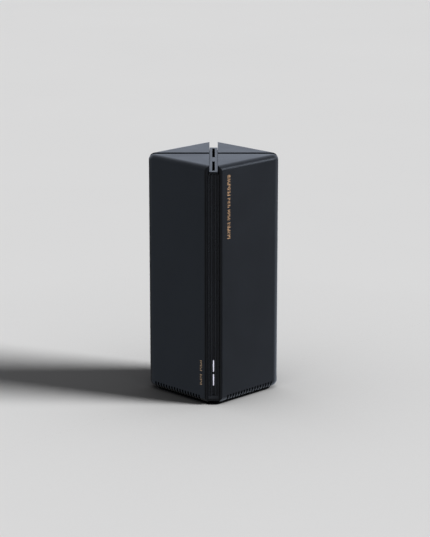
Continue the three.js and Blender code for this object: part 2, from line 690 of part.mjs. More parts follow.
// A coax lead over the top of the heat sink, from the antenna bracket to its socket on the board.
function coax(sx, sy) {
  const socket = sx < 0 ? BOARD.x0 - GAP : BOARD.x1 + GAP;
  const path = new THREE.CatmullRomCurve3([
    new THREE.Vector3(sx * 41, sy * 2.6, 150),
    new THREE.Vector3(sx * 40.4, sy * 3, 158),
    new THREE.Vector3(sx * 36, sy * 6, 165),
    new THREE.Vector3(sx * 26, sy * 12, 167.5),
    new THREE.Vector3(socket + sx * 5, sy * 16, 166.5),
    new THREE.Vector3(socket + sx * 0.8, sy * 16.5, 166),
  ]);
  const section = new THREE.Shape();
  section.absarc(0, 0, 0.6, 0, 2 * Math.PI, false);
  const tube = new THREE.ExtrudeGeometry(section, {
    steps: 14,
    extrudePath: path,
    bevelEnabled: false,
    curveSegments: 4,
  });
  const near = Math.min(socket, socket + sx * 1.5);
  const plug = rod("x", [0, sy * 16.5, 166], 1.4, near, near + 1.5, 14);
  return solidOf(tube).add(plug);
}

// ---------------------------------------------------------------- assembly

shells();
spines();
statusLights();
base();
rearPanel();
ports();
controls();
mainBoard();
cooling();
boardParts();
antennaSide(-1);
antennaSide(1);

export default node;
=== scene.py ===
import json
import math

import bmesh
import bpy
from mathutils import Matrix, Vector


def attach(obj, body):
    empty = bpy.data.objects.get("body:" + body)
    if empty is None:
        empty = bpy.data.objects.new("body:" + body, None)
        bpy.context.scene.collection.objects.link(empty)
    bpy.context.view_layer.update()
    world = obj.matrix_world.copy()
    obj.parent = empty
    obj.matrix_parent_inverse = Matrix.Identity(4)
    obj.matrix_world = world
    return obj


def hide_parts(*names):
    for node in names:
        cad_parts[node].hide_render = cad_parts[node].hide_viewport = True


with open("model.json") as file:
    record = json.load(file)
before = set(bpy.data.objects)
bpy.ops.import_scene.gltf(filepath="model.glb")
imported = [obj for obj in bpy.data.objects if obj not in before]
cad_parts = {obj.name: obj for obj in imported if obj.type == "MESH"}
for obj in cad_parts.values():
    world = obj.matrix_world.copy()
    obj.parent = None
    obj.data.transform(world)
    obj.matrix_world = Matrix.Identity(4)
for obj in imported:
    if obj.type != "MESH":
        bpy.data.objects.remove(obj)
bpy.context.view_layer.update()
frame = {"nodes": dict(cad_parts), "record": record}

# The looks of an upright mesh wifi node. Outlines are in millimetres and become metres in make().
# -Y is the front, where the ribbed spine and the status lights are. +Y is the port panel.

# ---------------------------------------------------------------- driving dimensions, mm

MM = 0.001
ROOT_2 = math.sqrt(2)
FAR = 80.0  # past the object on every side
GAP = 0.3  # between pieces that lie against each other
TOUCH = 0.01  # an edge this near a face counts as lying in it
SOFT = 0.25  # how far a small sharp edge is rounded

# The tower and its shells.
TOP = 199.0
SHELL_BOTTOM = 1.9
HALF_DIAGONAL = 57.5
SIDE_CORNER_R = 11.0
EDGE_R = 4.5
WALL = 2.2
OUTSIDE = -0.2  # an inset that lies just outside the skin
EDGE_STEPS = 9
CORNER_STEPS = 22

# The seam between the shells, and the tongue behind it.
SEAM_WIDTH = 1.5
SEAM_CHAMFER = 1.4
SEAM_STEPS = 6
SEAM_LEDGE = 2.8
SEAM_DEPTH = 1.55
SEAM_LOW = 9.0
LIP_OUTER = 1.5
LIP_INNER = 3.1
LIP_REACH = 4.0
LIP_LOW = 8.0
LIP_END_HALF = 6.3  # just outside the channel's walls

# The channel and the spines in it.
CHANNEL_HALF = 3.5
CHANNEL_WALL = 1.6
CHANNEL_LIP_R = 2.3
CHANNEL_LIP_STEPS = 24
CHANNEL_MOUTH = 0.95  # the rounding of its lips starts this far behind the spine's front
CHANNEL_LIP_OUT, CHANNEL_LIP_UP = 5.0, 2.2  # how far the lips' cutter reaches past the rounding
SPINE_WAY_HALF = 4.6
SPINE_HALF = 4.45
SPINE_FRONT = 49.4
SPINE_DEPTH = 3.0
SPINE_BOTTOM = 4.9
SPINE_FOOT = 2.9
SPINE_GROOVE_HALF = 0.9
SPINE_GROOVE = 1.5
SPINE_RIB = 2.2
SPINE_RIB_R = 0.35
SPINE_FLANK = 0.05
SPINE_FLUTE = 0.8
SPINE_OUTER_RIB = 3.25
GROOVE_FLOOR_HALF = 0.82
GROOVE_FLOOR_SIDE = 0.1
GROOVE_FLOOR_RAISED, GROOVE_FLOOR_SUNK = 0.03, 0.1
TOP_SPINE_HALF = 3.35
TOP_SPINE_DEPTH = 2.0
TOP_SPINE_END = 50.6
TOP_SPINE_END_R = 0.95
TOP_SPINE_EDGE_R = 0.55
TOP_RECESS = 5.0
TOP_SLOT_HALF = 1.1
TOP_SLOT_NEAR = 8.6
TOP_SLOT_FAR = 45.4
TOP_SLOT_WAY_HALF, TOP_SLOT_WAY_DEPTH = 1.5, 5.0
CHANNEL_FLOOR = SPINE_FRONT - SPINE_DEPTH - GAP
TOP_FLOOR = TOP - TOP_RECESS - TOP_SPINE_DEPTH - GAP

# The status lights.
LIGHT_HALF = 0.38
LIGHT_R = 0.2
LIGHT_WINDOW_SIDE, LIGHT_WINDOW_END = 0.03, 0.1
LIGHT_WAY_HALF, LIGHT_WAY_LOW, LIGHT_WAY_HIGH = 2.0, 13.0, 40.0
LENS_FRONT, LENS_BACK = 48.1, 44.2
LENS_HEIGHT = 9.5
LENS_CENTRES = (32.5, 20.7)

# The combs of vents, the base and the foot.
VENTS_PER_FACE = 17
VENT_WIDTH = 1.7
VENT_PITCH = 3.2
VENT_OFFSET = 1.7
VENT_TOP = 7.4
VENT_DEPTH = 5.0
BASE_INSET = 6.0
BASE_REACH = 43.5
BASE_OPENING_TOP = 6.0
PLATE_BOTTOM, PLATE_TOP = 1.0, 5.2
INTAKES, INTAKE_PITCH, INTAKE_HALF, INTAKE_R = 11, 4.0, 0.9, 0.85
INTAKE_REACH, INTAKE_TAPER = 24.0, 0.7
FOOT_INSET, FOOT_CORNER_R, FOOT_HEIGHT, FOOT_RING = 3.4, 13.0, 0.8, 15.0
FOOT_NOTCH_HALF = 10.0

# The rear panel and its ports.
BAY_HALF, BAY_LOW, BAY_HIGH, BAY_R, BAY_RIM, BAY_DEPTH = 10.5, 14.0, 130.0, 3.0, 1.6, 42.5
BEHIND_BAY_HALF, BEHIND_BAY_DEPTH = 13.5, 20.0
BELOW_BAY_HALF = 20.0
PANEL_FACE, PANEL_BACK = 44.4, 40.8
HOLE_IN, HOLE_OUT = 30.0, 60.0  # holes are cut over this stretch of Y
JACK_X0, JACK_X1, JACK_WIDTH, JACK_BACK, JACK_MOUTH = -6.6, 6.8, 16.0, 25.8, 43.8
JACK_HEIGHTS = {"wan_jack": 42.5, "lan_jack_1": 60.5, "lan_jack_2": 78.5, "lan_jack_3": 96.5}
JACK_OPENINGS = ((-4.4, 2.6, 5.95), (2.0, 4.9, 3.2), (4.5, 6.0, 1.8))  # x, x, half the height
DC_HEIGHT, RESET_HEIGHT, BUTTON_HEIGHT = 24.0, 110.0, 121.0
DC_HOLE_R, RESET_HOLE_R, BUTTON_HOLE_R = 4.8, 0.9, 3.5
BUTTON_STEPS = 64
SWITCH_X = -3.0

# The printed marks.
PRINT_HEIGHT = 0.03
FACE_MARKS_START, FACE_MARKS_MIDDLE = 9.9, 3.4
LIGHT_MARKS_START, LIGHT_MARKS_MIDDLE = 8.3, 2.7

# The floor, in mm, and the camera and the point the lights are aimed at, in metres.
FLOOR_HALF, FLOOR_DEPTH = 30000.0, 20.0
CAMERA_EYE = (0.0012, -1.690, 0.5375)
CAMERA_DOWN = 14.45  # degrees
CAMERA_LENS = 141.5  # mm
AIMED_AT = (0, 0, 0.1)

# ---------------------------------------------------------------- solids


def solid(points, faces):
    """A temporary closed mesh object, in millimetres."""
    mesh = bpy.data.meshes.new("solid")
    mesh.from_pydata([tuple(p) for p in points], [], faces)
    mesh.validate()
    made = bpy.data.objects.new("solid", mesh)
    bpy.context.scene.collection.objects.link(made)
    return made


def stack(rings):
    """A solid through rings with equally many points, capped at both ends."""
    count = len(rings[0])
    points = [p for ring in rings for p in ring]
    faces = [tuple(reversed(range(count)))]
    for level in range(len(rings) - 1):
        low = level * count
        for i in range(count):
            j = (i + 1) % count
            faces.append((low + i, low + j, low + count + j, low + count + i))
    faces.append(tuple(range(len(points) - count, len(points))))
    return solid(points, faces)


def along_z(outline, z0, z1):
    return stack([[(x, y, z) for x, y in outline] for z in (z0, z1)])


def along_y(outline, y0, y1):
    """An outline of (x, z) points, from y0 to y1."""
    return stack([[(x, y, z) for x, z in outline] for y in (y1, y0)])


def along_x(outline, x0, x1):
    """An outline of (y, z) points, from x0 to x1."""
    return stack([[(x, y, z) for y, z in outline] for x in (x0, x1)])


def block(x0, x1, y0, y1, z0, z1):
    x0, x1 = sorted((x0, x1))
    y0, y1 = sorted((y0, y1))
    return along_z([(x0, y0), (x1, y0), (x1, y1), (x0, y1)], z0, z1)


def arc(cx, cy, r, start, end, steps):
    """Points on an arc, in degrees, both ends included."""
    turns = [math.radians(start + (end - start) * i / steps) for i in range(steps + 1)]
    return [(cx + r * math.cos(t), cy + r * math.sin(t)) for t in turns]


def rounded_rect(x0, x1, y0, y1, r, steps=6):
    right, left, low, high = x1 - r, x0 + r, y0 + r, y1 - r
    corners = [(right, low, -90), (right, high, 0), (left, high, 90), (left, low, 180)]
    return [p for cx, cy, a in corners for p in arc(cx, cy, r, a, a + 90, steps)]


def circle(cx, cy, r, steps):
    return arc(cx, cy, r, 0, 360, steps)[:-1]


def diamond(inset=0.0, r=None):
    """The plan of the tower, inset square to its faces."""
    a = HALF_DIAGONAL - inset * ROOT_2
    r = r or max(SIDE_CORNER_R - inset, 1.0)
    c = a - r * ROOT_2
    right, left = arc(c, 0, r, -45, 45, CORNER_STEPS), arc(-c, 0, r, 135, 225, CORNER_STEPS)
    return [*right, (0, a), *left, (0, -a)]


def skin(inset=0.0):
    """The whole tower with rounded top and bottom edges, inset all round."""
    r = EDGE_R - inset
    rings = []
    for centre, start in ((SHELL_BOTTOM + EDGE_R, -90), (TOP - EDGE_R, 0)):
        for i in range(EDGE_STEPS + 1):
            turn = math.radians(start + 90 * i / EDGE_STEPS)
            z = centre + r * math.sin(turn)
            rings.append([(x, y, z) for x, y in diamond(inset + r * (1 - math.cos(turn)))])
    return stack(rings)


def combine(target, other, operation):
    modifier = target.modifiers.new("combine", "BOOLEAN")
    modifier.operation = operation
    modifier.solver = "MANIFOLD"
    modifier.object = other
    bake(target)
    drop(other)
    return target


def cut(target, *others):
    for other in others:
        combine(target, other, "DIFFERENCE")
    return target


def join(target, other):
    return combine(target, other, "UNION")


def keep(target, other):
    return combine(target, other, "INTERSECT")


def bake(target):
    """Applies every modifier."""
    graph = bpy.context.evaluated_depsgraph_get()
    graph.update()
    mesh = bpy.data.meshes.new_from_object(target.evaluated_get(graph))
    old = target.data
    target.modifiers.clear()
    target.data = mesh
    bpy.data.meshes.remove(old)


def drop(target):
    mesh = target.data
    bpy.data.objects.remove(target)
    bpy.data.meshes.remove(mesh)


def copy_of(target):
    twin = target.copy()
    twin.data = target.data.copy()
    bpy.context.scene.collection.objects.link(twin)
    return twin


def turned(target, degrees):
    """Turns a solid about the Z axis."""
    target.data.transform(Matrix.Rotation(math.radians(degrees), 4, "Z"))
    return target


def merged(parts):
    """Solids that don't touch each other, as one object."""
    mesh = bmesh.new()
    for part in parts:
        mesh.from_mesh(part.data)
        drop(part)
    joined = solid([], [])
    mesh.to_mesh(joined.data)
    mesh.free()
    return joined


def soften(target, width, wanted, steps=2):
    """Rounds the sharp edges whose ends both satisfy wanted(point)."""
    mesh = bmesh.new()
    mesh.from_mesh(target.data)
    bmesh.ops.remove_doubles(mesh, verts=mesh.verts, dist=1e-4)
    sharp = math.radians(30)
    edges = [
        e
        for e in mesh.edges
        if len(e.link_faces) == 2
        and e.calc_face_angle(0.0) > sharp
        and all(wanted(v.co) for v in e.verts)
    ]
    bmesh.ops.bevel(
        mesh, geom=edges, offset=width, segments=steps, profile=0.5, affect="EDGES", clamp_overlap=True
    )
    mesh.to_mesh(target.data)
    mesh.free()
    return target


def make(target, name, material, body="root", slot=None, replaces=(), angle=32):
    """Finishes a solid as a visible piece: metres, shading, material and its place in the frame."""
    target.data.transform(Matrix.Scale(MM, 4))
    target.name = name
    target.data.name = name
    for face in target.data.polygons:
        face.use_smooth = True
    target.data.set_sharp_from_angle(angle=math.radians(angle))
    weighted = target.modifiers.new("normals", "WEIGHTED_NORMAL")
    weighted.keep_sharp = True
    weighted.weight = 80
    bake(target)
    target.data.materials.clear()
    target.data.materials.append(material)
    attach(target, body)
    if replaces:
        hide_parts(*replaces)
    return target


# ---------------------------------------------------------------- materials


class Nodes:
    """Short names for building one material's node tree."""

    def __init__(self, name):
        self.material = bpy.data.materials.new(name)
        self.material.use_nodes = True
        self.tree = self.material.node_tree
        self.shader = self.tree.nodes["Principled BSDF"]
        self.where = self.add("ShaderNodeTexCoord").outputs["Object"]

    def add(self, kind, **inputs):
        node = self.tree.nodes.new(kind)
        for key, value in inputs.items():
            self.feed(node.inputs[key.replace("_", " ")], value)
        return node

    def feed(self, socket, value):
        if isinstance(value, bpy.types.NodeSocket):
            self.tree.links.new(value, socket)
        else:
            socket.default_value = value

    def set(self, **inputs):
        for key, value in inputs.items():
            self.feed(self.shader.inputs[key.replace("_", " ")], value)

    def noise(self, scale, detail=3.0, where=None):
        node = self.add("ShaderNodeTexNoise", Scale=scale, Detail=detail, Roughness=0.55)
        self.feed(node.inputs["Vector"], where or self.where)
        return node.outputs["Fac"]

    def stretched(self, x, y, z):
        """Object coordinates scaled along each axis. A small factor draws the pattern out."""
        node = self.add("ShaderNodeMapping", Vector=self.where)
        node.inputs["Scale"].default_value = (x, y, z)
        return node.outputs["Vector"]

    def ramp(self, value, low, high, start=0.3, end=0.7):
        """Maps start to end onto low to high."""
        node = self.add("ShaderNodeMapRange", Value=value)
        node.inputs["From Min"].default_value = start
        node.inputs["From Max"].default_value = end
        node.inputs["To Min"].default_value = low
        node.inputs["To Max"].default_value = high
        return node.outputs["Result"]

    def blend(self, factor, a, b):
        node = self.tree.nodes.new("ShaderNodeMix")
        node.data_type = "RGBA"
        self.feed(node.inputs["Factor"], factor)
        self.feed(node.inputs["A"], (*a, 1.0) if isinstance(a, tuple) else a)
        self.feed(node.inputs["B"], (*b, 1.0) if isinstance(b, tuple) else b)
        return node.outputs["Result"]

    def bump(self, height, distance, normal=None):
        """A bump whose height is given in metres."""
        node = self.add("ShaderNodeBump", Height=height, Distance=distance, Strength=1.0)
        if normal is not None:
            self.feed(node.inputs["Normal"], normal)
        return node.outputs["Normal"]


def moulded(name, colour, roughness, grain=0.00001, grain_scale=5200.0, specular=0.5):
    """Injection-moulded plastic with a fine etched grain and slight flow marks."""
    n = Nodes(name)
    fine = n.noise(grain_scale, detail=2.0)
    broad = n.noise(38.0, detail=4.0)
    darker = tuple(c * 0.88 for c in colour)
    lighter = tuple(c * 1.1 for c in colour)
    n.set(Base_Color=n.blend(n.ramp(broad, 0.0, 1.0), darker, lighter))
    n.set(Roughness=n.ramp(broad, roughness - 0.03, roughness + 0.03))
    n.set(Normal=n.bump(fine, grain))
    n.shader.inputs["Specular IOR Level"].default_value = specular
    return n.material


def metal(name, colour, roughness, direction=(1.0, 1.0, 1.0)):
    """Metal with a fine grain, drawn out along the axis with the smallest factor."""
    n = Nodes(name)
    grain = n.noise(900.0, detail=3.0, where=n.stretched(*direction))
    n.set(Base_Color=n.blend(n.ramp(grain, 0.0, 1.0), tuple(c * 0.9 for c in colour), colour))
    n.set(Metallic=1.0, Roughness=n.ramp(grain, roughness - 0.07, roughness + 0.07))
    n.set(Normal=n.bump(grain, 0.000004))
    return n.material


def circuit_board(name):
    """Green solder mask over faint tracks, with a fine weave."""
    n = Nodes(name)
    tracks = n.add("ShaderNodeTexBrick")
    turned_axes = n.add("ShaderNodeMapping", Vector=n.where)
    turned_axes.inputs["Rotation"].default_value = (0.0, math.pi / 2, 0.0)
    n.feed(tracks.inputs["Vector"], turned_axes.outputs["Vector"])
    n.feed(tracks.inputs["Scale"], 260.0)
    tracks.inputs["Mortar Size"].default_value = 0.06
    weave = n.noise(2600.0)
    base = n.blend(tracks.outputs["Fac"], (0.012, 0.075, 0.04), (0.02, 0.12, 0.06))
    n.set(Base_Color=n.blend(n.ramp(weave, 0.0, 0.5), base, (0.01, 0.06, 0.032)))
    n.set(Roughness=n.ramp(weave, 0.32, 0.45))
    n.set(Normal=n.bump(tracks.outputs["Fac"], 0.00003, normal=n.bump(weave, 0.00001)))
    return n.material


def glowing(name, colour, strength):
    """An opal lens lit from behind, faintly clouded."""
    n = Nodes(name)
    cloud = n.noise(700.0)
    tint = n.blend(n.ramp(cloud, 0.0, 1.0), tuple(c * 0.96 for c in colour), colour)
    n.set(Base_Color=tint, Roughness=n.ramp(cloud, 0.28, 0.36))
    n.feed(n.shader.inputs["Emission Color"], tint)
    n.shader.inputs["Emission Strength"].default_value = strength
    n.set(Normal=n.bump(cloud, 0.000004))
    return n.material


def printed(name, colour, roughness, metallic=0.35):
    """Metallic printing ink, faintly speckled."""
    n = Nodes(name)
    speck = n.noise(3600.0)
    n.set(Base_Color=n.blend(n.ramp(speck, 0.0, 1.0), tuple(c * 0.85 for c in colour), colour))
    n.set(Roughness=n.ramp(speck, roughness - 0.05, roughness + 0.05))
    n.shader.inputs["Metallic"].default_value = metallic
    n.set(Normal=n.bump(speck, 0.000003))
    return n.material


SHELL = moulded("shell_plastic", (0.0042, 0.0051, 0.007), 0.38)
STRIP = moulded("top_strip_plastic", (0.0042, 0.0051, 0.007), 0.36)
SPINE = moulded("spine_plastic", (0.009, 0.0102, 0.014), 0.27)
# Darker and rougher than the spine's plastic, for strips on the groove floors: painted shade in the
# grooves.
GROOVE_SHADE = moulded("groove_painted_shade", (0.008, 0.009, 0.0125), 0.37, specular=0.45)
# Near-black and dull, darker than the panel's black plastic. On the rear shell's tongue, which is the
# shell's own plastic, it is painted shade inside the seam. On the base cover it is black plastic made
# darker still, partly the part's colour and partly painted shade in the gap under the shells.
SHADE_BLACK = moulded("seam_and_base_shade_black", (0.0015, 0.0015, 0.002), 0.75, specular=0.15)
BLACK = moulded("panel_black", (0.0095, 0.0098, 0.011), 0.5, grain=0.00002, grain_scale=3200.0)
JACK = moulded("jack_black", (0.012, 0.012, 0.0135), 0.36, grain=0.000006)
WAN = moulded("wan_blue", (0.012, 0.06, 0.2), 0.36, grain=0.000006)
PAD = moulded("thermal_pad", (0.24, 0.34, 0.42), 0.85, grain=0.00003, grain_scale=1800.0)
COAX = moulded("coax_jacket", (0.012, 0.012, 0.013), 0.42)
RUBBER = moulded(
    "foot_rubber", (0.003, 0.003, 0.0032), 0.82, grain=0.00003, grain_scale=2400.0, specular=0.3
)
BOARD = circuit_board("solder_mask")
TIN = metal("tin_plate", (0.66, 0.67, 0.69), 0.3)
STEEL = metal("screw_steel", (0.5, 0.51, 0.53), 0.32)
ALUMINIUM = metal("extruded_aluminium", (0.76, 0.77, 0.79), 0.36, direction=(1.0, 1.0, 0.04))
GOLD = metal("contact_gold", (0.9, 0.66, 0.3), 0.22, direction=(1.0, 0.05, 1.0))
GLOW = glowing("status_light", (0.86, 0.86, 1.0), 0.68)
INK = printed("copper_ink", (0.6, 0.37, 0.2), 0.45)
# The same copper ink as INK, made lighter and fully metallic for the marks on the shaded left face:
# painted light.
INK_PAINTED_LIGHTER = printed("copper_ink_painted_lighter", (1.0, 0.62, 0.33), 0.34, metallic=1.0)
PALE_INK = printed("port_ink", (0.3, 0.31, 0.33), 0.55)

SLOT_MATERIALS = {
    "shell": SHELL,
    "top_strip": STRIP,
    "spine": SPINE,
    "black_plastic": BLACK,
    "foot_rubber": RUBBER,
    "light_lens": GLOW,
    "circuit_board": BOARD,
    "tin_plate": TIN,
    "screw_steel": STEEL,
    "aluminium": ALUMINIUM,
    "contact_gold": GOLD,
    "jack_plastic": JACK,
    "wan_plastic": WAN,
    "thermal_pad": PAD,
    "coax_jacket": COAX,
}


def dress_cad_nodes():
    """Every CAD node gets the procedural material of its slot in the record."""
    for entry in frame["record"]["subparts"]:
        node = frame["nodes"][entry["node"]]
        material = SLOT_MATERIALS[entry["material_slot"]]
        node.data.materials.clear()
        node.data.materials.append(material)


# ---------------------------------------------------------------- shells


def lip_cutter(side):
    """Rounds the face edges on both sides of the channel, at the front (-1) or rear (1)."""
    r = CHANNEL_LIP_R
    cx = CHANNEL_HALF + r
    cy = HALF_DIAGONAL - r * ROOT_2 - cx
    reach = cx + r / ROOT_2
    right = [(CHANNEL_HALF, SPINE_FRONT), *arc(cx, cy, r, 180, 45, CHANNEL_LIP_STEPS)]
    right = [p for p in right if p[1] >= SPINE_FRONT - CHANNEL_MOUTH]
    outer = reach + CHANNEL_LIP_OUT
    outline = [*right, (outer, cy + r / ROOT_2 + CHANNEL_LIP_UP), (outer, FAR)]
    mirrored = [(-x, y) for x, y in reversed(outline)]
    cutter = along_z([*outline, *mirrored], -1, TOP + 1)
    return cutter if side > 0 else turned(cutter, 180)


def channel_blocks():
    """What the cavity leaves standing, so that the channel gets walls and a floor."""
    half = SPINE_WAY_HALF + CHANNEL_WALL
    return [
        block(-half, half, -FAR, CHANNEL_WALL - CHANNEL_FLOOR, 0, TOP + 1),
        block(-half, half, CHANNEL_FLOOR - CHANNEL_WALL, FAR, 0, TOP + 1),
        block(-half, half, -FAR, FAR, TOP_FLOOR - CHANNEL_WALL, TOP + 1),
    ]


def channel_cuts():
    """The channel itself, and the ways through its floor for the top slots and the lights."""
    half = SPINE_WAY_HALF
    way, below = TOP_SLOT_WAY_HALF, TOP_FLOOR - TOP_SLOT_WAY_DEPTH
    lights = CHANNEL_WALL - CHANNEL_FLOOR + 1
    return [
        block(-half, half, -FAR, -CHANNEL_FLOOR, -1, TOP_FLOOR),
        block(-half, half, CHANNEL_FLOOR, FAR, BAY_HIGH + BAY_RIM, TOP_FLOOR),
        block(-CHANNEL_HALF, CHANNEL_HALF, -FAR, FAR, TOP_FLOOR, TOP + 1),
        block(-way, way, TOP_SLOT_NEAR, TOP_SLOT_FAR, below, TOP),
        block(-way, way, -TOP_SLOT_NEAR, -TOP_SLOT_FAR, below, TOP),
        block(-LIGHT_WAY_HALF, LIGHT_WAY_HALF, -FAR, lights, LIGHT_WAY_LOW, LIGHT_WAY_HIGH),
    ]


def vents():
    """Slots with round tops across the bottom edge of all four faces."""
    slots = []
    first = -(VENTS_PER_FACE - 1) / 2 * VENT_PITCH
    face_middle = HALF_DIAGONAL / ROOT_2
    half = VENT_WIDTH / 2
    for face in range(4):
        offset = VENT_OFFSET if face % 2 else -VENT_OFFSET
        for i in range(VENTS_PER_FACE):
            along = first + i * VENT_PITCH + offset
            round_top = arc(along, VENT_TOP - half, half, 0, 180, 8)
            outline = [(along - half, 0), (along + half, 0), *round_top]
            slot = along_x(outline, face_middle - VENT_DEPTH, face_middle + 1)
            slots.append(turned(slot, 45 + 90 * face))
    return merged(slots)


def base_opening(inset, reach, z0, z1):
    """The tower's plan with its front and rear corners cut off at reach."""
    return keep(along_z(diamond(inset), z0, z1), block(-FAR, FAR, -reach, reach, z0 - 1, z1 + 1))


def bay_outline(grow):
    half, low, high = BAY_HALF + grow, BAY_LOW - grow, BAY_HIGH + grow
    return rounded_rect(-half, half, low, high, BAY_R + grow)


def housing():
    """Both shells before they are parted, without the tongue."""
    cavity = cut(skin(WALL), *channel_blocks(), along_y(bay_outline(BAY_RIM), BAY_DEPTH, FAR))
    half, depth = BEHIND_BAY_HALF, BEHIND_BAY_DEPTH
    behind = block(-half, half, BAY_DEPTH - depth, BAY_DEPTH, BAY_LOW - BAY_RIM, BAY_HIGH + BAY_RIM)
    return cut(
        skin(0),
        cavity,
        lip_cutter(-1),
        lip_cutter(1),
        *channel_cuts(),
        vents(),
        base_opening(BASE_INSET, BASE_REACH, 0, BASE_OPENING_TOP),
        block(-BELOW_BAY_HALF, BELOW_BAY_HALF, SPINE_FRONT, FAR, -1, BAY_LOW),
        along_y(bay_outline(0), HOLE_IN, FAR),
        behind,
    )


def tongue():
    """The rear shell's rim that lies behind the seam."""
    rim = cut(
        skin(LIP_OUTER),
        skin(LIP_INNER),
        block(-LIP_END_HALF, LIP_END_HALF, -FAR, FAR, 0, TOP + 1),
        along_z(diamond(BASE_INSET), 0, LIP_LOW),
    )
    return keep(rim, block(-FAR, FAR, -LIP_REACH, SEAM_WIDTH / 2 + SEAM_LEDGE + GAP, 0, TOP + 1))


def seam_chamfer(whole):
    """Sinks a ledge in the rear shell beside the seam, and slopes the front shell's edge in steps."""
    edge = SEAM_WIDTH / 2
    ledge = keep(skin(OUTSIDE), block(-FAR, FAR, edge, edge + SEAM_LEDGE, SEAM_LOW, TOP + 1))
    cut(whole, cut(ledge, skin(SEAM_DEPTH)))
    for k in range(SEAM_STEPS):
        reach = edge + SEAM_CHAMFER * (SEAM_STEPS - k) / SEAM_STEPS
        ring = keep(skin(OUTSIDE), block(-FAR, FAR, -reach, 0, SEAM_LOW, TOP + 1))
        cut(whole, cut(ring, skin(SEAM_CHAMFER * (k + 1) / SEAM_STEPS)))
    return whole


def shells():
    """Both shells, parted at the seam. The front one is relieved for the rear one's tongue."""
    whole = seam_chamfer(housing())
    half = SEAM_WIDTH / 2
    front = keep(copy_of(whole), block(-FAR, FAR, -FAR, -half, 0, TOP + 1))
    rear = keep(whole, block(-FAR, FAR, half, FAR, 0, TOP + 1))
    rebate = keep(skin(LIP_OUTER - GAP), block(-FAR, FAR, -LIP_REACH - GAP, FAR, 0, TOP + 1))
    rebate = cut(rebate, block(-LIP_END_HALF, LIP_END_HALF, -FAR, FAR, 0, TOP + 1))
    cut(front, rebate)
    for part in (front, rear):
        soften(part, SOFT, lambda p: abs(abs(p.x) - CHANNEL_HALF) < 1e-3 and p.z > TOP - 0.3)
    make(front, "shell_front", SHELL, slot="shell", replaces=["front_shell"], angle=13)
    make(rear, "shell_rear", SHELL, slot="shell", replaces=["rear_shell"], angle=13)
    # The tongue is the shell's plastic; its near-black material is painted shade inside the seam.
    make(tongue(), "shell_rear_tongue", SHADE_BLACK, slot="shell")


# ---------------------------------------------------------------- spines and lights


def spine_outline():
    """Section of a spine facing -Y: two rounded ribs on each side of a deeper middle groove."""
    face = -SPINE_FRONT
    flute = face + SPINE_FLUTE
    r = SPINE_RIB_R
    half = [(SPINE_GROOVE_HALF, face + SPINE_GROOVE)]
    half += arc(SPINE_GROOVE_HALF + r, face + r, r, 180, 270, 5)
    half += arc(SPINE_RIB - r, face + r, r, 270, 360, 5)
    half += [(SPINE_RIB + SPINE_FLANK, flute), (SPINE_OUTER_RIB - SPINE_FLANK, flute)]
    half += arc(SPINE_OUTER_RIB + r, face + r, r, 180, 270, 5)
    half += arc(SPINE_HALF - r, face + r, r, 270, 360, 5)
    half += [(SPINE_HALF, face + SPINE_DEPTH)]
    return [*half, *[(-x, y) for x, y in reversed(half)]]


def groove_shade_strips(low, high):
    """Thin strips, darker and rougher than the spine, on the floors of a front spine's three grooves:
    painted shade in the grooves.
    """
    inner, outer = SPINE_RIB + GROOVE_FLOOR_SIDE, SPINE_OUTER_RIB - GROOVE_FLOOR_SIDE
    strips = []
    for x0, x1, depth in (
        (-GROOVE_FLOOR_HALF, GROOVE_FLOOR_HALF, SPINE_GROOVE),
        (-inner, -outer, SPINE_FLUTE),
        (inner, outer, SPINE_FLUTE),
    ):
        y = depth - SPINE_FRONT
        strips.append(block(x0, x1, y - GROOVE_FLOOR_RAISED, y + GROOVE_FLOOR_SUNK, low, high))
    return merged(strips)


def spines():
    """The front spine with its foot and windows, and the shorter rear one above the panel."""
    lower = SPINE_BOTTOM + SPINE_FOOT
    front = along_z(spine_outline(), lower, TOP_FLOOR)
    back = SPINE_DEPTH - SPINE_FRONT
    foot = block(-SPINE_HALF, SPINE_HALF, -SPINE_FRONT, back, SPINE_BOTTOM, lower)
    foot = soften(foot, SOFT, lambda p: p.y < -SPINE_FRONT + TOUCH)
    join(front, foot)
    # Strips of painted shade on the floors of the grooves.
    shade_strips = groove_shade_strips(lower, TOP_FLOOR)
    for z in LENS_CENTRES:
        reach = LENS_HEIGHT / 2 + LIGHT_WINDOW_END
        half = LIGHT_HALF + LIGHT_WINDOW_SIDE
        window = rounded_rect(-half, half, z - reach, z + reach, LIGHT_R)
        cut(front, along_y(window, -HOLE_OUT, 0))
        cut(shade_strips, along_y(window, -HOLE_OUT, 0))
    make(front, "spine_front", SPINE, slot="spine", replaces=["front_spine"])
    make(shade_strips, "spine_front_groove_shade", GROOVE_SHADE, slot="spine")

    rear_low = BAY_HIGH + BAY_RIM + GAP
    rear = turned(along_z(spine_outline(), rear_low, TOP_FLOOR), 180)
    make(rear, "spine_rear", SPINE, slot="spine", replaces=["rear_spine"])
    # Strips of painted shade on the floors of the rear spine's grooves.
    shade_strips = turned(groove_shade_strips(rear_low, TOP_FLOOR), 180)
    make(shade_strips, "spine_rear_groove_shade", GROOVE_SHADE, slot="spine")


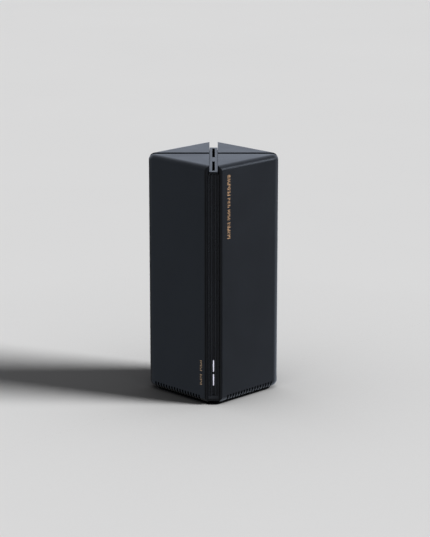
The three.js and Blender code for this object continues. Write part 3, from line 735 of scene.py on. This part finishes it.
def top_spine():
    """The flat strip in the top of the channel, with a slot on each side of the middle."""
    top = TOP - TOP_RECESS
    low = top - TOP_SPINE_DEPTH
    side_view = rounded_rect(-TOP_SPINE_END, TOP_SPINE_END, low, top, TOP_SPINE_END_R, 10)
    strip = along_x(side_view, -TOP_SPINE_HALF, TOP_SPINE_HALF)
    strip = soften(strip, TOP_SPINE_EDGE_R, lambda p: p.z > top - 0.4, steps=4)
    for side in (-1, 1):
        near, far = sorted((side * TOP_SLOT_NEAR, side * TOP_SLOT_FAR))
        slot = rounded_rect(-TOP_SLOT_HALF, TOP_SLOT_HALF, near, far, 0.25, 4)
        cut(strip, along_z(slot, low - 1, top + 1))
    soften(strip, 0.12, lambda p: abs(p.x) < 0.9 and p.z > top - TOUCH)
    make(strip, "spine_top", STRIP, slot="top_strip", replaces=["top_spine"])


def status_lights():
    reach = LENS_HEIGHT / 2
    for name, z in zip(("upper", "lower"), LENS_CENTRES):
        outline = rounded_rect(-LIGHT_HALF, LIGHT_HALF, z - reach, z + reach, LIGHT_R, 5)
        lens = along_y(outline, -LENS_FRONT, -LENS_BACK)
        lens = soften(lens, 0.1, lambda p: p.y < -LENS_FRONT + TOUCH)
        make(lens, f"light_bar_{name}", GLOW, slot="light_lens", replaces=[f"status_lens_{name}"])


# ---------------------------------------------------------------- base and foot


def base():
    """The base plate with its intake slots, and the rubber ring it stands on."""
    plate = base_opening(BASE_INSET + GAP, BASE_REACH - GAP, PLATE_BOTTOM, PLATE_TOP)
    plate = soften(plate, SOFT, lambda p: p.z < PLATE_BOTTOM + 0.1)
    for i in range(INTAKES):
        y = (i - (INTAKES - 1) / 2) * INTAKE_PITCH
        reach = INTAKE_REACH - abs(y) * INTAKE_TAPER
        slot = rounded_rect(-reach, reach, y - INTAKE_HALF, y + INTAKE_HALF, INTAKE_R)
        cut(plate, along_z(slot, 0, PLATE_TOP + 3))
    # The base cover is black plastic; the darker near-black material also paints the shade in the gap
    # under the shells.
    make(plate, "base_cover", SHADE_BLACK, slot="black_plastic", replaces=["base_plate"])

    pad = along_z(diamond(FOOT_INSET, FOOT_CORNER_R), 0, FOOT_HEIGHT)
    cut(pad, along_z(diamond(FOOT_RING), -1, 2))
    for side in (-1, 1):
        ends = side * SPINE_FRONT, side * FAR
        cut(pad, block(-FOOT_NOTCH_HALF, FOOT_NOTCH_HALF, *ends, -1, 8))
    pad = soften(pad, 0.18, lambda p: True)
    make(pad, "foot_ring", RUBBER, slot="foot_rubber", replaces=["foot_pad"])


# ---------------------------------------------------------------- rear panel and ports


def flared(outline_at, y_face, depth, flare):
    """A cutter along Y for a hole whose mouth widens towards the face."""
    rings = [(HOLE_OUT, flare), (y_face, flare), (y_face - depth, 0.0), (HOLE_IN, 0.0)]
    return stack([[(x, y, z) for x, z in outline_at(grow)] for y, grow in rings])


def panel():
    """The port panel with flared holes for the jacks, the DC inlet, the pinhole and the button."""
    plate = along_y(bay_outline(-GAP / 2), PANEL_BACK, PANEL_FACE)
    plate = soften(plate, 0.3, lambda p: p.y > PANEL_FACE - TOUCH)
    for z in JACK_HEIGHTS.values():
        half = JACK_WIDTH / 2 + GAP

        def mouth(grow, z=z, half=half):
            x0, x1 = JACK_X0 - GAP - grow, JACK_X1 + GAP + grow
            return rounded_rect(x0, x1, z - half - grow, z + half + grow, 0.8 + grow)

        cut(plate, flared(mouth, PANEL_FACE, 0.4, 0.35))
    for x, z, r, steps, depth, flare in (
        (0, DC_HEIGHT, DC_HOLE_R, 48, 0.6, 0.5),
        (SWITCH_X, RESET_HEIGHT, RESET_HOLE_R, 24, 0.3, 0.3),
        (0, BUTTON_HEIGHT, BUTTON_HOLE_R, 48, 0.4, 0.4),
    ):

        def hole(grow, x=x, z=z, r=r, steps=steps):
            return circle(x, z, r + grow, steps)

        cut(plate, flared(hole, PANEL_FACE, depth, flare))
    make(plate, "port_panel", BLACK, slot="black_plastic", replaces=["io_panel"])


def jack(name, z):
    """A modular jack on its side, with its latch notch towards +X."""
    half = JACK_WIDTH / 2
    body = along_y(rounded_rect(JACK_X0, JACK_X1, z - half, z + half, 0.6), JACK_BACK, JACK_MOUTH)
    body = soften(body, SOFT, lambda p: p.y > JACK_MOUTH - TOUCH)
    for x0, x1, rise in JACK_OPENINGS:
        cut(body, block(x0, x1, HOLE_IN, HOLE_OUT, z - rise, z + rise))

    def round_the_opening(p):
        return p.y > JACK_MOUTH - TOUCH and -5 < p.x < 6.2 and abs(p.z - z) < 6.2

    body = soften(body, 0.3, round_the_opening)
    is_wan = name == "wan_jack"
    material, slot = (WAN, "wan_plastic") if is_wan else (JACK, "jack_plastic")
    make(body, f"{name}_housing", material, slot=slot, replaces=[name])


def button():
    """The sync button: a dished cap on its flange, from rings of (radius, y)."""
    flange = [(4.6, 39.3), (4.6, 40.5), (3.2, 40.5)]
    turns = (0, 0.4, 0.8, 1.2, 1.57)
    rim = [(2.75 + 0.45 * math.cos(t), 44.65 + 0.45 * math.sin(t)) for t in turns]
    dish = [(2.2, 45.02), (1.4, 44.9), (0.6, 44.86)]
    rings = []
    for r, y in (*flange, *rim, *dish):
        ring = reversed(circle(0, BUTTON_HEIGHT, r, BUTTON_STEPS))
        rings.append([(x, y, z) for x, z in ring])
    make(stack(rings), "sync_button", SPINE, "mesh_button", slot="spine", replaces=["mesh_button"])


# ---------------------------------------------------------------- printed marks


def decal(outlines, at, name, material):
    """Thin raised shapes. Outlines are (s, t) points; at(s, t, h) places one in the frame, in mm."""
    heights = (-PRINT_HEIGHT, PRINT_HEIGHT)
    parts = [stack([[at(s, t, h) for s, t in outline] for h in heights]) for outline in outlines]
    make(merged(parts), name, material, slot="print_ink", angle=60)


def on_front_face(side, start):
    """Places (s, t) on a front face: s runs outwards from |x| = start, and t upwards."""

    def at(s, t, h):
        x = start + (s + h) / ROOT_2
        y = -(HALF_DIAGONAL - start) + (s - h) / ROOT_2
        return (side * x, y, t)

    return at


def bar(s0, s1, t0, t1):
    s0, s1 = sorted((s0, s1))
    t0, t1 = sorted((t0, t1))
    r = min(s1 - s0, t1 - t0) * 0.45
    return rounded_rect(s0, s1, t0, t1, r, 3)


def curved_bar(s, t, r, width, start, end):
    outer = arc(s, t, r + width / 2, start, end, 14)
    inner = arc(s, t, r - width / 2, end, start, 14)
    return [*outer, *inner]


def chevron(s, t, half, rise, width):
    """A bent stroke pointing upwards."""
    return [
        (s - half, t - rise / 2),
        (s - half + width * 0.7, t - rise / 2 - width * 0.5),
        (s, t + rise / 2 - width),
        (s + half - width * 0.7, t - rise / 2 - width * 0.5),
        (s + half, t - rise / 2),
        (s, t + rise / 2),
    ]


def abstract_marks(middle, top, half, pitch, width, kinds):
    """A column of strokes that spell nothing: bars, half bars, dots and chevrons, with gaps."""
    reaches = {"bar": (1, 1), "near": (1, 0.2), "far": (0.2, 1)}
    marks = []
    for i, kind in enumerate(kinds):
        t = top - i * pitch
        if kind in reaches:
            near, far = reaches[kind]
            s0, s1 = middle - half * near, middle + half * far
            marks.append(bar(s0, s1, t - width / 2, t + width / 2))
        elif kind == "dots":
            marks.append(circle(middle - half * 0.6, t, width * 0.62, 12))
            marks.append(circle(middle + half * 0.6, t, width * 0.62, 12))
        elif kind == "chevron":
            marks.append(chevron(middle, t, half, width * 1.7, width * 0.85))
    return marks


def face_marks():
    """Abstract strokes on the right face and beside the lights."""
    bold = ["chevron", "bar", "dots", "bar", "chevron", "near", "bar", "far", "chevron", "bar"]
    bold += ["dots", "bar", "near", "bar"]
    fine = ["bar", "far", "chevron", "bar", "dots", "bar", "near", "gap", "bar", "chevron"]
    fine += ["bar", "far", "bar", "near", "bar", "dots"]
    last = ["bar", "dots", "chevron", "bar", "near", "bar", "chevron", "dots", "bar", "far", "bar"]
    marks = []
    for top, half, pitch, width, kinds in (
        (190.2, 1.75, 1.25, 0.52, bold),
        (171.4, 1.55, 1.2, 0.44, fine),
        (151.2, 1.75, 1.25, 0.5, last),
    ):
        marks += abstract_marks(FACE_MARKS_MIDDLE, top, half, pitch, width, kinds)
    decal(marks, on_front_face(1, FACE_MARKS_START), "face_marks", INK)

    short = ["bar", "chevron", "near", "bar", "dots", "far", "bar"]
    for name, top, kinds in (("upper", 36.7, short), ("lower", 24.9, short[::-1])):
        marks = abstract_marks(LIGHT_MARKS_MIDDLE, top, 1.2, 1.35, 0.62, kinds)
        # These marks are the same copper ink as the face marks; the lighter, fully metallic copy is
        # painted light on the shaded left face.
        decal(marks, on_front_face(-1, LIGHT_MARKS_START), f"light_marks_{name}", INK_PAINTED_LIGHTER)


def on_panel(s, t, h):
    """Places (s, t) on the port panel, as seen from behind: s to the right, t upwards."""
    return (-s, PANEL_FACE + h, t)


def ring_mark(s, t, r):
    """A ring as two half-turn bars."""
    return [curved_bar(s, t, r, 0.2, start, start + 179) for start in (0, 180)]


def port_marks():
    """Pictograms beside the ports: a globe, one to three dots, a plug, a dot in a ring, three dots."""
    side = 8.7
    wan = JACK_HEIGHTS["wan_jack"]
    marks = [*ring_mark(side, wan, 0.95), bar(side - 0.85, side + 0.85, wan - 0.08, wan + 0.08)]
    for offset, middle in ((-0.75, 0), (0.75, 180)):
        marks.append(curved_bar(side + offset, wan, 1.0, 0.16, middle - 58, middle + 58))
    for count in (1, 2, 3):
        z = JACK_HEIGHTS[f"lan_jack_{count}"]
        for i in range(count):
            marks.append(circle(side, z + (i - (count - 1) / 2) * 1.3, 0.4, 16))
    marks.append(bar(side - 0.9, side + 0.9, DC_HEIGHT + 0.4, DC_HEIGHT + 0.65))
    for i in (-1, 0, 1):
        s = side + i * 0.65
        marks.append(bar(s - 0.22, s + 0.22, DC_HEIGHT - 0.35, DC_HEIGHT - 0.1))
    beside_pinhole = 7.2
    marks += ring_mark(beside_pinhole, RESET_HEIGHT, 0.9)
    marks.append(circle(beside_pinhole, RESET_HEIGHT, 0.35, 16))
    for s, rise in ((7.6, -0.9), (8.9, -0.9), (8.25, 0.6)):
        marks.append(circle(s, BUTTON_HEIGHT + rise, 0.42, 16))
    decal(marks, on_panel, "port_marks", PALE_INK)


# ---------------------------------------------------------------- camera, floor and lights


def camera():
    data = bpy.data.cameras.new("camera")
    data.sensor_width = 36.0
    data.lens = CAMERA_LENS
    data.clip_end = 50.0
    eye = bpy.data.objects.new("camera", data)
    eye.location = CAMERA_EYE
    eye.rotation_euler = (math.radians(90 - CAMERA_DOWN), 0.0, 0.0)
    bpy.context.scene.collection.objects.link(eye)
    bpy.context.scene.camera = eye


def floor():
    """A matt paper floor whose colour is painted darker where the object stands close over it, through
    an ambient occlusion node: painted shade.
    """
    n = Nodes("paper_floor")
    nearby = n.add("ShaderNodeAmbientOcclusion", Distance=0.35)
    nearby.samples = 12
    cloud = n.noise(3.0)
    paper = n.blend(n.ramp(cloud, 0.0, 1.0), (0.805, 0.805, 0.805), (0.815, 0.815, 0.815))
    open_floor = n.ramp(nearby.outputs["AO"], 0.0, 1.0, 0.0, 1.0)
    # Painted shade: the floor's colour goes towards dark grey where the ambient occlusion finds the
    # object close by.
    n.set(Base_Color=n.blend(open_floor, (0.1, 0.1, 0.1), paper))
    n.shader.inputs["Roughness"].default_value = 1.0
    n.shader.inputs["Specular IOR Level"].default_value = 0.0
    n.set(Normal=n.bump(n.noise(900.0), 0.00002))
    ground = block(-FLOOR_HALF, FLOOR_HALF, -FLOOR_HALF, FLOOR_HALF, -FLOOR_DEPTH, 0)
    ground.data.transform(Matrix.Scale(MM, 4))
    ground.name = "floor"
    ground.data.materials.append(n.material)
    ground.visible_glossy = False


def direction(azimuth, elevation):
    """Azimuth 0 is +X, to the right, and 90 is +Y, behind the object."""
    a, e = math.radians(azimuth), math.radians(elevation)
    return Vector((math.cos(e) * math.cos(a), math.cos(e) * math.sin(a), math.sin(e)))


def light(name, kind, azimuth, elevation, distance=1.0):
    """A light that shines from that direction towards the middle of the object."""
    data = bpy.data.lights.new(name, kind)
    lamp = bpy.data.objects.new(name, data)
    towards = direction(azimuth, elevation)
    lamp.location = Vector(AIMED_AT) + towards * distance
    lamp.rotation_euler = towards.to_track_quat("Z", "Y").to_euler()
    bpy.context.scene.collection.objects.link(lamp)
    return lamp


def card(name, azimuth, elevation, width, height, radiance, tint=(0.88, 0.99, 1.17), distance=3.0):
    """A soft panel that only shows in reflections. Width and height are angles in degrees."""
    lamp = light(name, "AREA", azimuth, elevation, distance)
    lamp.data.shape = "RECTANGLE"
    lamp.data.size = 2 * distance * math.tan(math.radians(width / 2))
    lamp.data.size_y = 2 * distance * math.tan(math.radians(height / 2))
    lamp.data.energy = radiance * math.pi * lamp.data.size * lamp.data.size_y
    lamp.data.color = tint
    lamp.visible_diffuse = False
    lamp.visible_camera = False
    return lamp


def studio():
    """One broad key light, cards for the reflections, and a dim grey world."""
    key = light("key", "SUN", -10.5, 28)
    key.data.angle = math.radians(23)
    key.data.energy = 5.1
    key.visible_glossy = False
    card("backdrop_card", 90, 26, 110, 62, 0.79, tint=(0.88, 0.99, 1.2))
    card("left_card", 175, 0, 44, 90, 0.265, tint=(0.81, 1.0, 1.3), distance=1.2)
    card("right_card", 23, 0, 50, 90, 0.205, tint=(0.88, 1.0, 1.2))
    card("edge_card", -4, 22, 26, 18, 3.7, distance=1.0)
    card("ground_card", 50, -33, 60, 36, 0.9)
    card("front_card", -90, -14, 16, 40, 0.4)
    world = bpy.data.worlds.new("studio")
    world.use_nodes = True
    world.node_tree.nodes["Background"].inputs["Color"].default_value = (0.094, 0.094, 0.096, 1.0)
    bpy.context.scene.world = world
    bpy.context.scene.view_settings.view_transform = "Standard"


# ---------------------------------------------------------------- assembly

camera()
dress_cad_nodes()
shells()
spines()
top_spine()
status_lights()
base()
panel()
for jack_name, jack_height in JACK_HEIGHTS.items():
    jack(jack_name, jack_height)
button()
face_marks()
port_marks()
floor()
studio()
